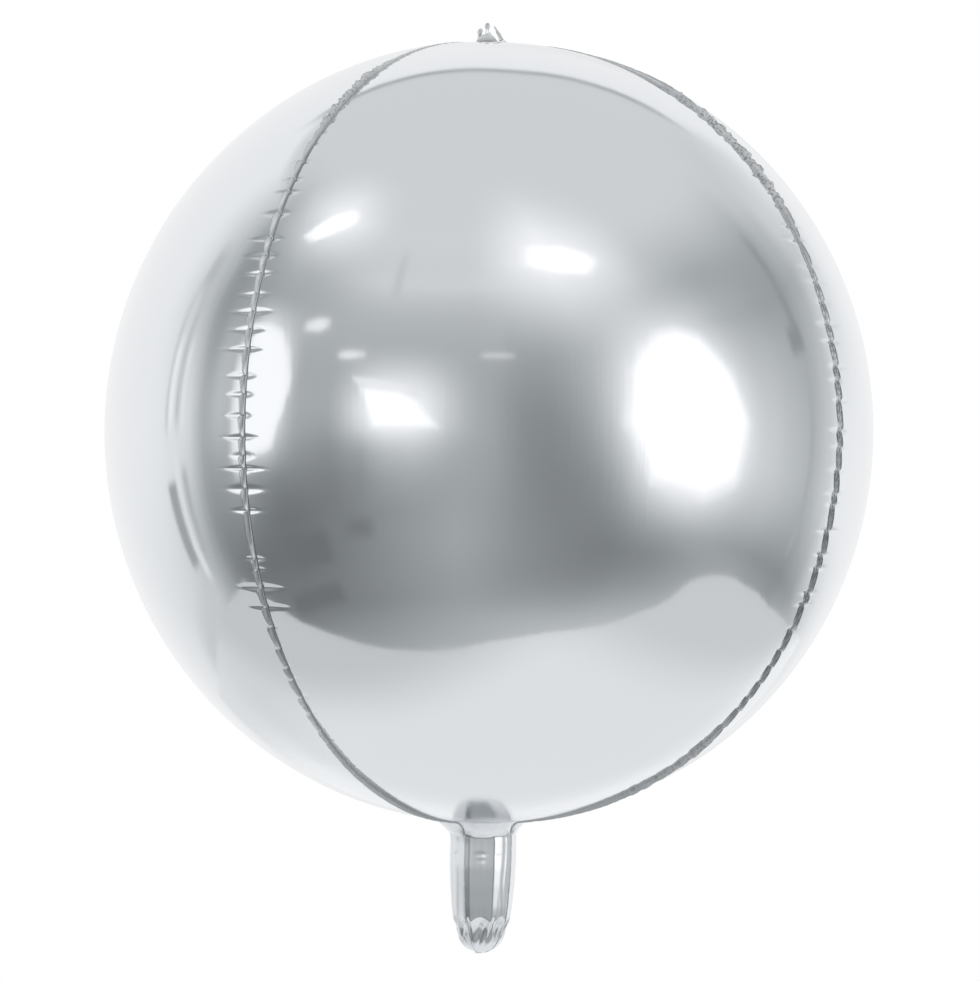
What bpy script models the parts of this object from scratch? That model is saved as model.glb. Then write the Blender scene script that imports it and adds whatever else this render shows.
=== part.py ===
"""Round foil balloon, inflated: four film gores heat-sealed to each other along four meridian seams.

Each seam stands out as a narrow scalloped fin. The four seam ends are gathered at the crown, where
their tabs stand up, and the four gores run down into a four-sided filling neck with a closed,
gathered end. Metres, +Z up, origin at the middle of the belly, front gore facing -Y.
"""

import math

import bmesh
import bpy
from mathutils import Matrix, Vector

# Belly
GORE_RADIUS = 0.195        # axis to the middle of a gore, at the equator
CROWN_HEIGHT = 0.2005      # middle of the belly to its crown
BASE_DEPTH = 0.2007        # middle of the belly to where its underside would close
BELLY_SQUARENESS = 2.3     # superellipse power of a level section, whose four corners are the seams
ROUNDING_HEIGHT = -0.165   # height below which the section gets rounder, towards the neck's
CROWN_RING = 0.007         # radius at which the gores stop short of the crown
NECK_FILLET = 0.008        # radius of the hollow curve from the belly into the neck

# Film
FILM = 0.001               # wall of a gore, far thicker than real film
FIN_FILM = 0.001           # two layers of film sealed together
CLEARANCE = 0.0003         # between pieces that touch on the real balloon

# Seam fins
FIN_HEIGHT = 0.0022        # how far a fin stands proud of the belly, at the equator
FIN_HEIGHT_CROWN = 0.0016
FIN_HEIGHT_NECK = 0.0018
SCALLOP_PITCH = 0.010      # from one pleat of the fin to the next
SCALLOP_DEPTH = 0.0008
RUFFLE = 0.0005            # how far a fin's edge sways to each side

# Neck
NECK_RADIUS = 0.0173       # axis to the middle of a side, where the neck leaves the belly
NECK_SQUARENESS = 2.0      # a round section
NECK_TAPER = (             # depth below the neck's top, radius
    (0.0000, 0.0173),
    (0.0045, 0.0172),
    (0.0165, 0.0172),
    (0.0260, 0.0167),
    (0.0375, 0.0158),
    (0.0450, 0.0147),
    (0.0500, 0.0138),
)
NECK_END_HEIGHT = 0.0119   # of the rounded end
NECK_END_RING = 0.0030     # radius at which the neck's sides stop short of the end
NECK_FIN_HEIGHT = 0.0015
NECK_FIN_HEIGHT_END = 0.0010
NECK_FIN_RISE = 0.33       # share of the neck's length over which its fins reach their full height
NECK_RUFFLE = 0.0002

# Gathered ends
KNOT_SIDES = 24
KNOT_HEIGHT = 0.0026       # of the crown's knot above the edge of the gores
KNOT_TAPER = 0.9           # radius at the top over radius at the foot
KNOT_SOFTENING = 0.0006    # width of its rounded edges
PLUG_SIDES = 16
PLUG_TAPER = 0.8           # radius at the bottom over radius at the top
PLUG_DROP = 0.0012         # how far it stands out below the neck's sides
PLUG_SOFTENING = 0.0005

# Mesh densities
GORE_COLUMNS = 12
BELLY_ROWS = 24
FILLET_ROWS = 4
NECK_COLUMNS = 7
NECK_END_ROWS = 5
SHARP_EDGE = math.radians(40)

# Sides and corners, by the way they face
SIDES = (                  # name, azimuth in degrees, anticlockwise from +X
    ("front", -90),
    ("right", 0),
    ("back", 90),
    ("left", 180),
)
CORNERS = (                # name, azimuth in degrees
    ("front_right", -45),
    ("back_right", 45),
    ("back_left", 135),
    ("front_left", -135),
)
CROWN_TABS = (             # corner, foot's inner radius, foot's outer radius, tip's radius, height
    ("front_right", 0.0012, 0.0112, 0.0036, 0.0075),
    ("back_right", 0.0012, 0.0062, 0.0022, 0.0078),
    ("back_left", 0.0012, 0.0072, 0.0044, 0.0064),
    ("front_left", 0.0012, 0.0060, 0.0016, 0.0092),
)
TAB_TIP_WIDTH = 0.0014     # of the tip's outer half
TAB_TIP_INNER = 0.6        # width of the tip's inner half over that of its outer half
TAB_OUTER_SHOULDER = 0.82  # shares of a tab's height at which its edges turn in to the tip
TAB_INNER_SHOULDER = 0.90

# Colours
FILM_COLOUR = (0.80, 0.815, 0.83, 1.0)
SEAL_COLOUR = (0.70, 0.715, 0.73, 1.0)


def clear_scene():
    """Removes every object of the scene this runs in."""
    for obj in list(bpy.data.objects):
        bpy.data.objects.remove(obj)


def foil(name, colour, roughness):
    """Aluminised film: a bright metal."""
    material = bpy.data.materials.new(name)
    material.use_nodes = True
    shader = material.node_tree.nodes["Principled BSDF"]
    shader.inputs["Base Color"].default_value = colour
    shader.inputs["Metallic"].default_value = 1.0
    shader.inputs["Roughness"].default_value = roughness
    return material


def squareness(height):
    """Superellipse power of the level section there: the belly's, fading to the neck's at the bottom."""
    share = (height - FILLET_CENTRE[1]) / (ROUNDING_HEIGHT - FILLET_CENTRE[1])
    return NECK_SQUARENESS + (BELLY_SQUARENESS - NECK_SQUARENESS) * min(1, max(0, share))


def section(azimuth, height):
    """Radius of a level section at this azimuth, where 1 is the radius at the middle of a gore."""
    power = squareness(height)
    return (abs(math.cos(azimuth)) ** power + abs(math.sin(azimuth)) ** power) ** (-1 / power)


def seam_radius(radius, height):
    """Radius of a seam where the middle of a gore has this radius and height."""
    return radius * section(math.pi / 4, height)


def fillet_centre():
    """(radius, height) of the centre of the hollow arc that touches both the belly and the neck."""
    radius = NECK_RADIUS + NECK_FILLET
    return radius, -math.sqrt((BASE_DEPTH + NECK_FILLET) ** 2 - radius ** 2)


FILLET_CENTRE = fillet_centre()


def belly_meridian():
    """(gore radius, height) from the neck's top up to the crown ring: a hollow arc, then an ellipse."""
    centre_radius, centre_height = FILLET_CENTRE
    arc_angle = math.atan2(-centre_height, centre_radius)
    points = []
    for step in range(FILLET_ROWS):
        angle = arc_angle * step / FILLET_ROWS
        points.append((
            centre_radius - NECK_FILLET * math.cos(angle),
            centre_height + NECK_FILLET * math.sin(angle),
        ))
    touch_radius = centre_radius * BASE_DEPTH / (BASE_DEPTH + NECK_FILLET)
    lowest = -math.acos(touch_radius / GORE_RADIUS)
    highest = math.acos(CROWN_RING / GORE_RADIUS)
    for step in range(BELLY_ROWS + 1):
        latitude = lowest + (highest - lowest) * step / BELLY_ROWS
        half_height = CROWN_HEIGHT if latitude > 0 else BASE_DEPTH
        points.append((GORE_RADIUS * math.cos(latitude), half_height * math.sin(latitude)))
    return points


def neck_meridian(top):
    """(side radius, height) from the end ring up to the neck's top: a rounded end, then the taper."""
    shoulder_depth, shoulder_radius = NECK_TAPER[-1]
    steepest = math.acos(NECK_END_RING / shoulder_radius)
    points = []
    for step in range(NECK_END_ROWS, 0, -1):
        angle = steepest * step / NECK_END_ROWS
        points.append((
            shoulder_radius * math.cos(angle),
            top - shoulder_depth - NECK_END_HEIGHT * math.sin(angle),
        ))
    for depth, radius in reversed(NECK_TAPER):
        points.append((radius, top - depth))
    return points


def warped_grid(name, columns, rows, place):
    """A grid primitive whose vertex at share (u, v) of its width and height goes to place(u, v)."""
    sheet = bmesh.new()
    bmesh.ops.create_grid(sheet, x_segments=columns, y_segments=rows, size=0.5)
    for vertex in sheet.verts:
        vertex.co = place(vertex.co.x + 0.5, vertex.co.y + 0.5)
    mesh = bpy.data.meshes.new(name)
    sheet.to_mesh(mesh)
    sheet.free()
    mesh.shade_smooth()
    mesh.set_sharp_from_angle(angle=SHARP_EDGE)
    return bpy.data.objects.new(name, mesh)


def give_thickness(obj, thickness, offset):
    """Solidify: offset -1 puts the wall behind the surface, 0 centres it."""
    wall = obj.modifiers.new("wall", "SOLIDIFY")
    wall.thickness = thickness
    wall.offset = offset
    wall.use_even_offset = True


def finish(obj, collection, material):
    obj.data.materials.append(material)
    collection.objects.link(obj)
    return obj


def film_panel(name, middle, meridian, columns):
    """The film between two seams, from the bottom of the meridian to its top, less the fins' places."""
    rows = len(meridian) - 1
    seam_gap = FIN_FILM / 2 + CLEARANCE

    def place(u, v):
        radius, height = meridian[round(v * rows)]
        margin = math.asin(seam_gap / seam_radius(radius, height))
        azimuth = middle + (u - 0.5) * (math.pi / 2 - 2 * margin)
        reach = radius * section(azimuth, height)
        return Vector((reach * math.cos(azimuth), reach * math.sin(azimuth), height))

    panel = warped_grid(name, columns, rows, place)
    give_thickness(panel, FILM, -1)
    return panel


def evenly_spaced(points, count):
    """count + 1 points at equal distances along the line through the given ones."""
    lengths = [math.dist(a, b) for a, b in zip(points, points[1:])]
    pitch = sum(lengths) / count
    found = [points[0]]
    travelled = 0.0
    for (a, b), length in zip(zip(points, points[1:]), lengths):
        while len(found) < count and travelled + length >= pitch * len(found):
            share = (pitch * len(found) - travelled) / length
            found.append(tuple(p + (q - p) * share for p, q in zip(a, b)))
        travelled += length
    found.append(points[-1])
    return found


def outward(points, index):
    """Unit normal, in the seam's plane, of the line through these points, which runs upwards."""
    (r0, z0), (r1, z1) = points[max(index - 1, 0)], points[min(index + 1, len(points) - 1)]
    length = math.hypot(r1 - r0, z1 - z0)
    return (z1 - z0) / length, -(r1 - r0) / length


def seam_fin(name, azimuth, meridian, height_at, ruffle):
    """A fin in the seam's plane: its root lies between two film edges and its edge is scalloped.

    No point of it lies lower than the meridian's first one.

    height_at(share) is how far the fin stands proud, at that share of the seam's length. ruffle is how
    far its edge sways to each side.
    """
    seam = [(seam_radius(radius, height), height) for radius, height in meridian]
    length = sum(math.dist(a, b) for a, b in zip(seam, seam[1:]))
    pleats = max(1, round(length / SCALLOP_PITCH))
    line = evenly_spaced(seam, 2 * pleats)
    sideways = Vector((-math.sin(azimuth), math.cos(azimuth), 0))

    def place(u, v):
        index = round(u * 2 * pleats)
        radius, height = line[index]
        normal_r, normal_z = outward(line, index)
        on_crest = index % 2
        edge = height_at(u) - (0 if on_crest else SCALLOP_DEPTH)
        out = edge if v > 0.5 else -FILM
        sway = ruffle * (index % 4 - 2) * on_crest if v > 0.5 else 0
        reach = radius + normal_r * out
        level = max(height + normal_z * out, line[0][1])
        return Vector((reach * math.cos(azimuth), reach * math.sin(azimuth), level)) + sideways * sway

    fin = warped_grid(name, 2 * pleats, 1, place)
    give_thickness(fin, FIN_FILM, 0)
    return fin


def belly_fin_height(share):
    """Low at the crown and the neck, full at the equator."""
    middle = math.sin(math.pi * share)
    end = FIN_HEIGHT_NECK + (FIN_HEIGHT_CROWN - FIN_HEIGHT_NECK) * share
    return end + (FIN_HEIGHT - end) * middle


def neck_fin_height(share):
    """Low at the neck's closed end, and full over the rest."""
    return NECK_FIN_HEIGHT_END + (NECK_FIN_HEIGHT - NECK_FIN_HEIGHT_END) * min(1, share / NECK_FIN_RISE)


def crown_tab(name, azimuth, inner, outer, tip, height, foot):
    """A flat tab that stands in its seam's plane: a filled outline, foot first, then the tip."""
    outline = (
        (inner, 0),
        (outer, 0),
        (tip + TAB_TIP_WIDTH, height * TAB_OUTER_SHOULDER),
        (tip, height),
        (tip - TAB_TIP_WIDTH * TAB_TIP_INNER, height * TAB_INNER_SHOULDER),
    )
    curve = bpy.data.curves.new(name, "CURVE")
    curve.dimensions = "2D"
    curve.fill_mode = "BOTH"
    curve.extrude = FIN_FILM / 2
    spline = curve.splines.new("POLY")
    spline.points.add(len(outline) - 1)
    for point, (x, y) in zip(spline.points, outline):
        point.co = (x, y, 0, 1)
    spline.use_cyclic_u = True
    tab = bpy.data.objects.new(name, curve)
    stand_up = Matrix.Rotation(math.pi / 2, 4, "X")
    tab.matrix_world = Matrix.Translation((0, 0, foot)) @ Matrix.Rotation(azimuth, 4, "Z") @ stand_up
    return tab


def gather(name, sides, low_radius, high_radius, low, high, softening):
    """The knot of film where four seams meet: a short cone with rounded edges."""
    cone = bmesh.new()
    bmesh.ops.create_cone(
        cone, cap_ends=True, segments=sides, radius1=low_radius, radius2=high_radius, depth=high - low
    )
    mesh = bpy.data.meshes.new(name)
    cone.to_mesh(mesh)
    cone.free()
    mesh.transform(Matrix.Translation((0, 0, (low + high) / 2)))
    knot = bpy.data.objects.new(name, mesh)
    edges = knot.modifiers.new("soft_edges", "BEVEL")
    edges.width = softening
    edges.segments = 2
    edges.limit_method = "ANGLE"
    edges.angle_limit = SHARP_EDGE
    return knot


def build():
    clear_scene()
    balloon = bpy.data.collections.new("round_foil_balloon")
    bpy.context.scene.collection.children.link(balloon)
    mirror_film = foil("mirror_film", FILM_COLOUR, 0.08)
    sealed_film = foil("sealed_film", SEAL_COLOUR, 0.22)

    belly = belly_meridian()
    crown_top = belly[-1][1]
    neck_top = belly[0][1] - CLEARANCE
    neck = neck_meridian(neck_top)
    neck_bottom = neck[0][1]

    # Gores and the neck's four sides
    for side, degrees in SIDES:
        middle = math.radians(degrees)
        finish(film_panel(f"gore_{side}", middle, belly, GORE_COLUMNS), balloon, mirror_film)
        finish(film_panel(f"neck_panel_{side}", middle, neck, NECK_COLUMNS), balloon, mirror_film)

    # Seam fins of the belly and the neck
    for corner, degrees in CORNERS:
        azimuth = math.radians(degrees)
        fin = seam_fin(f"seam_fin_{corner}", azimuth, belly, belly_fin_height, RUFFLE)
        finish(fin, balloon, sealed_film)
        fin = seam_fin(f"neck_fin_{corner}", azimuth, neck, neck_fin_height, NECK_RUFFLE)
        finish(fin, balloon, sealed_film)

    # Crown
    knot_top = crown_top + KNOT_HEIGHT
    knot_radius = CROWN_RING - CLEARANCE
    knot_foot = crown_top - FILM
    narrow = knot_radius * KNOT_TAPER
    knot = gather("crown_gather", KNOT_SIDES, knot_radius, narrow, knot_foot, knot_top, KNOT_SOFTENING)
    finish(knot, balloon, sealed_film)
    azimuths = dict(CORNERS)
    for corner, inner, outer, tip, height in CROWN_TABS:
        foot = knot_top + CLEARANCE
        azimuth = math.radians(azimuths[corner])
        tab = crown_tab(f"crown_tab_{corner}", azimuth, inner, outer, tip, height, foot)
        finish(tab, balloon, sealed_film)

    # Closed end of the neck
    plug_radius = NECK_END_RING - CLEARANCE
    foot, top = neck_bottom - PLUG_DROP, neck_bottom + FILM
    narrow = plug_radius * PLUG_TAPER
    plug = gather("neck_end_gather", PLUG_SIDES, narrow, plug_radius, foot, top, PLUG_SOFTENING)
    finish(plug, balloon, sealed_film)


build()
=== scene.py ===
"""Looks of the round foil balloon: thin film creased along its seams, crinkled seam fins, gathered ends,
the finish of the foil, and the plain pale studio that it mirrors.

Metres, +Z up, origin at the middle of the belly, front gore facing -Y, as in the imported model.
"""

import math

import bpy
import numpy as np
from bpy.props import FloatProperty, FloatVectorProperty, PointerProperty
from mathutils import Matrix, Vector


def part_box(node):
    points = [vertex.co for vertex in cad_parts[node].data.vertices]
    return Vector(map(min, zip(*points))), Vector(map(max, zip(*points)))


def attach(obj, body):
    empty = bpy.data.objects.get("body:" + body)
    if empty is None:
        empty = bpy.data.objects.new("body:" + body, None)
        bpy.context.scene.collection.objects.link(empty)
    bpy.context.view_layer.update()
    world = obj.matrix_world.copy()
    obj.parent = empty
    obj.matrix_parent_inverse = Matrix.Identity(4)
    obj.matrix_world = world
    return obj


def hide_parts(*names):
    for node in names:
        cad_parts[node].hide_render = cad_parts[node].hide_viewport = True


bl_info = {
    "name": "Round foil balloon",
    "version": (1, 0, 0),
    "blender": (4, 5, 0),
    "location": "View3D > Sidebar > Balloon",
    "description": "Film, seam fins and gathered ends of a round foil balloon, and a studio for it",
    "category": "Object",
}

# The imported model
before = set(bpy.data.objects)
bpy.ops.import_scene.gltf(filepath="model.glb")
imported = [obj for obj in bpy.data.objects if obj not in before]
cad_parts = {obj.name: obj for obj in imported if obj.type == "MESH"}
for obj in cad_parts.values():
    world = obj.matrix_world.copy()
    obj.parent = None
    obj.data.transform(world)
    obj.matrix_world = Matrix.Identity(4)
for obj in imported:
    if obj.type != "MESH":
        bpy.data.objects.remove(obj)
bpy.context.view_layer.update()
BODY = "root"
MIRROR_SLOT = "mirror_film"
SEALED_SLOT = "sealed_film"
GORE_RADIUS = -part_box("gore_front")[0].y
NECK_RADIUS = -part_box("neck_panel_front")[0].y
NECK_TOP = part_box("neck_panel_front")[1].z

HALF_SIDE = 45           # degrees from the middle of a side to its seams
# Name, azimuth of its middle, seam on its left and on its right seen from outside, then the folds that
# run down its side of the neck, in degrees from its middle, and how flat the neck is after each
SIDES = (
    ("front", -90, "front_left", "front_right", (-45, -36, 8, 19, 45), (1.0, 0.95, 0.85, 0.4)),
    ("right", 0, "front_right", "back_right", (-45, -18, 4, 26, 45), (0.9, 0.9, 0.8, 0.5)),
    ("back", 90, "back_right", "back_left", (-45, -18, 7, 28, 45), (0.6, 0.9, 0.9, 0.4)),
    ("left", 180, "back_left", "front_left", (-45, -24, -2, 45), (0.5, 0.85, 0.88)),
)
NECK_TAPER = (           # depth below the neck's top, radius
    (0.0000, 0.0173),
    (0.0045, 0.0172),
    (0.0165, 0.0172),
    (0.0260, 0.0167),
    (0.0375, 0.0158),
    (0.0450, 0.0147),
    (0.0500, 0.0138),
)
NECK_END_HEIGHT = 0.0119
POLE_RADIUS = 0.0012     # of the film's open ends, under the crown's knot and over the neck's pucker
PROFILE_STEPS = (700, 61, 120, 80)    # on the belly, the fillet, the neck and its end
TAPER_SMOOTHING = 8      # steps each way
# Small creases across the neck: angle from the side's middle and half width in degrees, depth below its
# top, depth inward
NECK_CREASES = (
    (-16, 9, 0.0093, 0.00024),
    (-15, 7, 0.0124, 0.00014),
    (18, 7, 0.0102, 0.00024),
    (19, 6, 0.0128, 0.00014),
)
NECK_CREASE_WIDTH = 0.0009
NECK_ASIDE_FADE = (-0.012, 0.004)     # depths below the neck's top between which it starts to hang aside
NECK_RETURN = 8          # share of that which it loses with each metre of depth
FACETS_FADE = (-0.0006, 0.0008)       # depths between which its facets start
TUCK_START = 0.0418      # below the neck's top, where its end is tucked in
TUCK_ARCH = 0.0030       # how much later that is at a fold
TUCK_RUN = 0.0105
TUCK = 0.30              # share of the radius that is tucked in
TUCK_FACING = -101.5     # azimuth of the side that is tucked in most, as is the one opposite
CRUMPLE = 0.0005         # depth of the crumples below the tuck
CRUMPLE_FADE = 0.004
CRUMPLE_PITCH = 0.0035
NECK_PLEATS = 0.00034    # depth of the shallow pleats that run down the neck where it is not flat
GATHER = 0.00026         # depth of the wrinkles that spread over the belly from the neck and the crown
GATHER_REACH = 0.034
# Waves round the axis: pitch and drift in degrees, and the length down in which they drift so far
PLEAT_WAVE = (6.0, 5.0, 0.016)
CRUMPLE_WAVE = (11.0, 12.0, 0.004)
GATHER_WAVE = (6.5, 4.0, 0.02)
FRONT_LEFT_CREASES = (   # latitude in degrees, depth, reach on the left gore, reach on the front gore
    (38.5, 0.0005, 0.007, 0.0048),
    (35.3, 0.0005, 0.008, 0.0048),
    (33.1, 0.0006, 0.010, 0.0058),
    (29.6, 0.0006, 0.011, 0.0058),
    (25.6, 0.0007, 0.013, 0.0058),
    (23.0, 0.0008, 0.013, 0.006),
    (20.4, 0.0009, 0.012, 0.007),
    (17.4, 0.0007, 0.012, 0.0058),
    (15.0, 0.0009, 0.014, 0.009),
    (12.5, 0.0008, 0.013, 0.007),
    (9.9, 0.0010, 0.016, 0.008),
    (6.3, 0.0008, 0.015, 0.007),
    (3.8, 0.0008, 0.013, 0.0058),
    (1.0, 0.0007, 0.014, 0.0048),
    (-1.9, 0.0009, 0.015, 0.008),
    (-4.3, 0.0005, 0.009, 0.0048),
    (-6.0, 0.0010, 0.015, 0.010),
    (-8.7, 0.0009, 0.014, 0.011),
    (-11.6, 0.0008, 0.011, 0.008),
    (-18.2, 0.0007, 0.008, 0.006),
    (-19.7, 0.0004, 0.005, 0.0058),
    (-22.3, 0.0010, 0.013, 0.013),
    (-25.1, 0.0008, 0.013, 0.012),
    (-28.0, 0.0004, 0.005, 0.0048),
)
CREASES_ABOVE = 16       # on each seam, from the crown down to the table's latitudes
CREASES_BELOW = 17       # from there down to the neck
CREASE_LATITUDES = (86.0, 38.5, -28.0, -80.0)
CREASES_FADE_IN = (-34, -24)          # latitudes between which the drawn creases grow, going up
CREASES_FADE_OUT = (36, 46)           # and die down
# Depth and reach of the least drawn crease, and what the largest have over that
DRAWN_CREASES = ((0.00022, 0.0045), (0.00055, 0.0065))
# Seeded spreads: shift in pitches, then over its mean each crease's depth, reach and width
CREASE_DRAWS = (0.28, (0.6, 1.25), (0.55, 1.3), (0.75, 1.25))
CREASE_CROWDING = 0.42   # most that its half width takes of the gap to the next
CREASE_ROWS = (-1.0, -0.75, -0.5, -0.25, 0.0, 0.25, 0.5, 0.75, 1.0)    # round a crease, in half widths
ROWS_BETWEEN = 2
LOWER_ROWS = (17, 64, 30)             # on the fillet, the neck and its end
ROWS_RELAX = (0.14, 0.42)             # shares from the seam between which the rows turn even
EDGE_COLUMNS = (0.0, 0.5, 1.1, 1.9, 2.9, 4.2, 5.9, 8.0, 10.5, 13.5, 17.5)    # mm from the seam
MIDDLE_COLUMNS = 38
FIN_GAP = 0.00002        # between the film and the fin's side

# How the fins vary along their seams: latitude, height, notch at each crease, sway, lean and crinkle in mm,
# and how much painted shade they get: by the columns of SEAMS up to 1, and evenly above
LEFT_FIN = (
    (88, 0.3, 0.0, 0.0, 0.0, 0.0, 0.0),
    (78, 0.3, 0.0, 0.0, 0.0, 0.0, 0.0),
    (72, 0.5, 0.0, 0.1, -0.3, 0.0, 0.0),
    (66, 1.0, 0.0, 0.1, -0.6, 0.05, 0.0),
    (62, 1.8, 0.2, 0.2, -1.2, 0.2, 0.1),
    (59, 2.8, 0.3, 0.3, -1.5, 0.8, 0.4),
    (48, 2.9, 0.4, 0.3, -1.5, 0.9, 0.4),
    (43, 2.2, 0.4, 0.5, -1.5, 0.2, 0.8),
    (38, 2.1, 0.5, 0.9, -1.8, 0.08, 1.0),
    (-30, 2.1, 0.5, 0.9, -1.9, 0.08, 1.0),
    (-42, 2.0, 0.4, 0.6, -1.3, 0.05, 1.0),
    (-47, 2.3, 0.1, 0.3, -0.9, 0.2, 1.1),
    (-52, 2.5, 0.0, 0.1, -0.3, 0.15, 1.22),
    (-62, 2.5, 0.0, 0.0, 0.3, 0.05, 1.26),
    (-70, 2.1, 0.0, 0.0, 0.3, 0.0, 1.32),
    (-80, 1.1, 0.0, 0.0, 0.0, 0.0, 1.35),
)
RIGHT_FIN = (
    (88, 0.3, 0.0, 0.0, 0.0, 0.0, 0.2),
    (72, 0.5, 0.0, 0.0, 0.0, 0.0, 0.3),
    (66, 1.2, 0.0, 0.0, 0.1, 0.0, 0.5),
    (60, 2.2, 0.0, 0.0, 0.2, 0.15, 0.8),
    (56, 2.5, 0.1, 0.1, 1.0, 0.8, 0.3),
    (52, 2.6, 0.3, 0.2, 1.5, 1.0, 0.0),
    (36, 2.5, 0.3, 0.2, 1.4, 1.0, 0.0),
    (31, 2.2, 0.2, 0.2, 0.9, 0.3, 0.8),
    (27, 1.3, 0.4, 0.2, 0.4, 0.0, 1.0),
    (25, 1.8, 0.4, 0.4, 0.5, 0.1, 1.0),
    (23, 1.3, 0.6, 0.5, 0.2, 0.0, 1.0),
    (20, 1.6, 0.5, 1.4, 0.1, 0.05, 1.0),
    (-30, 1.6, 0.5, 1.4, 0.1, 0.05, 1.0),
    (-44, 1.6, 0.4, 0.8, 0.4, 0.1, 0.8),
    (-50, 2.4, 0.2, 0.1, 0.3, 0.55, 0.1),
    (-64, 2.3, 0.1, 0.1, 0.3, 0.55, 0.1),
    (-68, 2.2, 0.0, 0.0, 0.3, 0.1, 0.3),
    (-80, 1.2, 0.0, 0.0, 0.0, 0.0, 0.2),
)
# Azimuth, seed, how the fin varies, its painted shade at the seam line and at its cut edge
SEAMS = {
    "front_right": (-45, 11, RIGHT_FIN, 0.2, 0.7),
    "back_right": (45, 23, LEFT_FIN, 0.5, 0.3),
    "back_left": (135, 37, RIGHT_FIN, 0.3, 0.5),
    "front_left": (-135, 41, LEFT_FIN, 0.6, 0.1),
}
FIN_STEPS = 2000
FIN_COLUMNS = (0.0, 0.34, 0.52, 0.68, 0.84, 1.0)    # from its root to its edge
FIN_ENDS = (0.004, 0.0012)            # where it starts and stops, from the profile's two ends
FIN_FADE = 0.004         # how far past the fillet it changes to the neck's low fin
LEAST_PROUD = 0.0002
NOTCH_HALF_WIDTH = 0.0021
NECK_NOTCHES = (0.011, 0.008, 0.0001)    # the first one's way below the last crease, their pitch and depth
LEAN_DRAW = (0.6, 1.3)   # sway between two creases, over that in the table
RAGGED_PITCH = 0.0021    # of the edge where a seal is crinkled
BUCKLE_PITCHES = (0.0016, 0.0026)     # of the buckles at its edge and halfway up

# Tabs at the crown: seam, radius and height of the foot and of the tip, half width at the foot, at the
# waist and at the head, how far it folds over
CROWN_TABS = (
    ("front_right", 0.0114, 0.1997, 0.0043, 0.2104, 0.0026, 0.0010, 0.0006, 0.0003),
    ("back_right", 0.0034, 0.2020, 0.0026, 0.2078, 0.0024, 0.0014, 0.0010, 0.0006),
    ("back_left", 0.0050, 0.2004, 0.0042, 0.2098, 0.0034, 0.0011, 0.0016, 0.0009),
    ("front_left", 0.0006, 0.2020, -0.0005, 0.2124, 0.0040, 0.0012, 0.0026, 0.0008),
)
TAB_GRID = (30, 13)
TAB_WAIST = 0.5          # shares of the height
TAB_HEAD = (0.62, 0.84)
TAB_RIPPLES = ((0.0024, 0.0004), (0.0018, 0.0002))    # pitch and depth, up the tab and across it
# The crown's gathered knot and the pleats that run out from under it: radius and height
CROWN_KNOT = (
    (0.0000, 0.2068), (0.0010, 0.2067), (0.0022, 0.2063), (0.0033, 0.2056), (0.0042, 0.2047),
    (0.0049, 0.2037), (0.0056, 0.2028), (0.0067, 0.2021), (0.0084, 0.2016), (0.0108, 0.2010),
    (0.0134, 0.2004), (0.0152, 0.1996), (0.0130, 0.1988), (0.0080, 0.1986), (0.0000, 0.1986),
)
CROWN_PLEATS = (19, 0.11, 260.0, 228)    # number, depth over the radius, twist in radians a metre, steps
CROWN_ASIDE = -0.0012    # how far the knot stands to the picture's right of the axis
# The neck's end: share of its node's radius, 1 from its top or 0 from its base, how far above that
NECK_PUCKER = (
    (0.0, 1, 0.0002), (0.5, 1, 0.0004), (0.9, 1, 0.0), (1.0, 1, -0.0006), (0.95, 0, 0.0006),
    (0.7, 0, 0.0001), (0.4, 0, 0.0002), (0.2, 0, 0.0008), (0.0, 0, 0.0012),
)
NECK_PUCKER_PLEATS = (9, 0.2, 300.0, 72)
NECK_PUCKER_UP = 0.0008  # how far it is pulled up into the tuck
KNOT_SHADE = 0.6          # painted shade in a ring round each knot, for the contact shadow under its skirt
KNOT_SHADE_RING = (0.004, 0.0065, 0.007, 0.010)    # radii where that starts, is full, fades and ends

# Foil. Patterns are in swings a metre.
COATING_LINES = (260.0, 14.0, 1.0)    # 4 mm apart across the gore, and 70 mm long
HAZE_CLOUDS = 38.0       # 26 mm wide
CRINKLES = 700.0         # 1.4 mm wide
BLOTCHES = 240.0         # 4 mm wide
SWELL_HEIGHT = 0.0001
PUCKER_BLUR = 0.32       # roughness added next to the neck
CRUSHED_BLUR = 0.28      # and for each mm of crinkle

# Studio. Bearings are in degrees from the camera's side of the balloon, positive to the picture's right.
CAMERA_BEARING = -12.12  # of the camera from the front gore's middle, positive to the right
CAMERA_TURN = math.radians(CAMERA_BEARING)
RIGHTWARD = np.array((math.cos(CAMERA_TURN), math.sin(CAMERA_TURN), 0.0))
AWAY = np.array((-math.sin(CAMERA_TURN), math.cos(CAMERA_TURN), 0.0))
UP = np.array((0.0, 0.0, 1.0))
CAMERA_DISTANCE = 1.56
CAMERA_ASIDE = 0.003
CAMERA_LEVEL = -0.0298
LENS = 110.5             # mm
SENSOR = 36.0            # mm
ROLL = 0.65              # degrees
FLOOR_LEVEL = -1.3
FLOOR_OUTLINE = (        # across and away from the camera, seen from the camera's side
    (-1.40, 3.0), (-1.45, 2.1), (-1.62, 1.36), (-1.93, 0.36), (-2.05, -0.2), (-1.4, -0.42),
    (-0.75, -0.60), (-0.2, -0.71), (0.0, -0.755), (0.2, -0.82), (0.5, -0.85), (0.76, -0.83), (1.02, -0.84),
    (1.15, -0.82), (1.28, -0.83), (1.44, -0.86), (1.60, -0.885), (1.75, -0.845), (1.90, -0.745),
    (2.02, -0.605), (2.10, -0.41), (2.11, -0.15), (2.14, 0.13), (2.08, 0.5), (2.1, 3.0),
)
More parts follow.
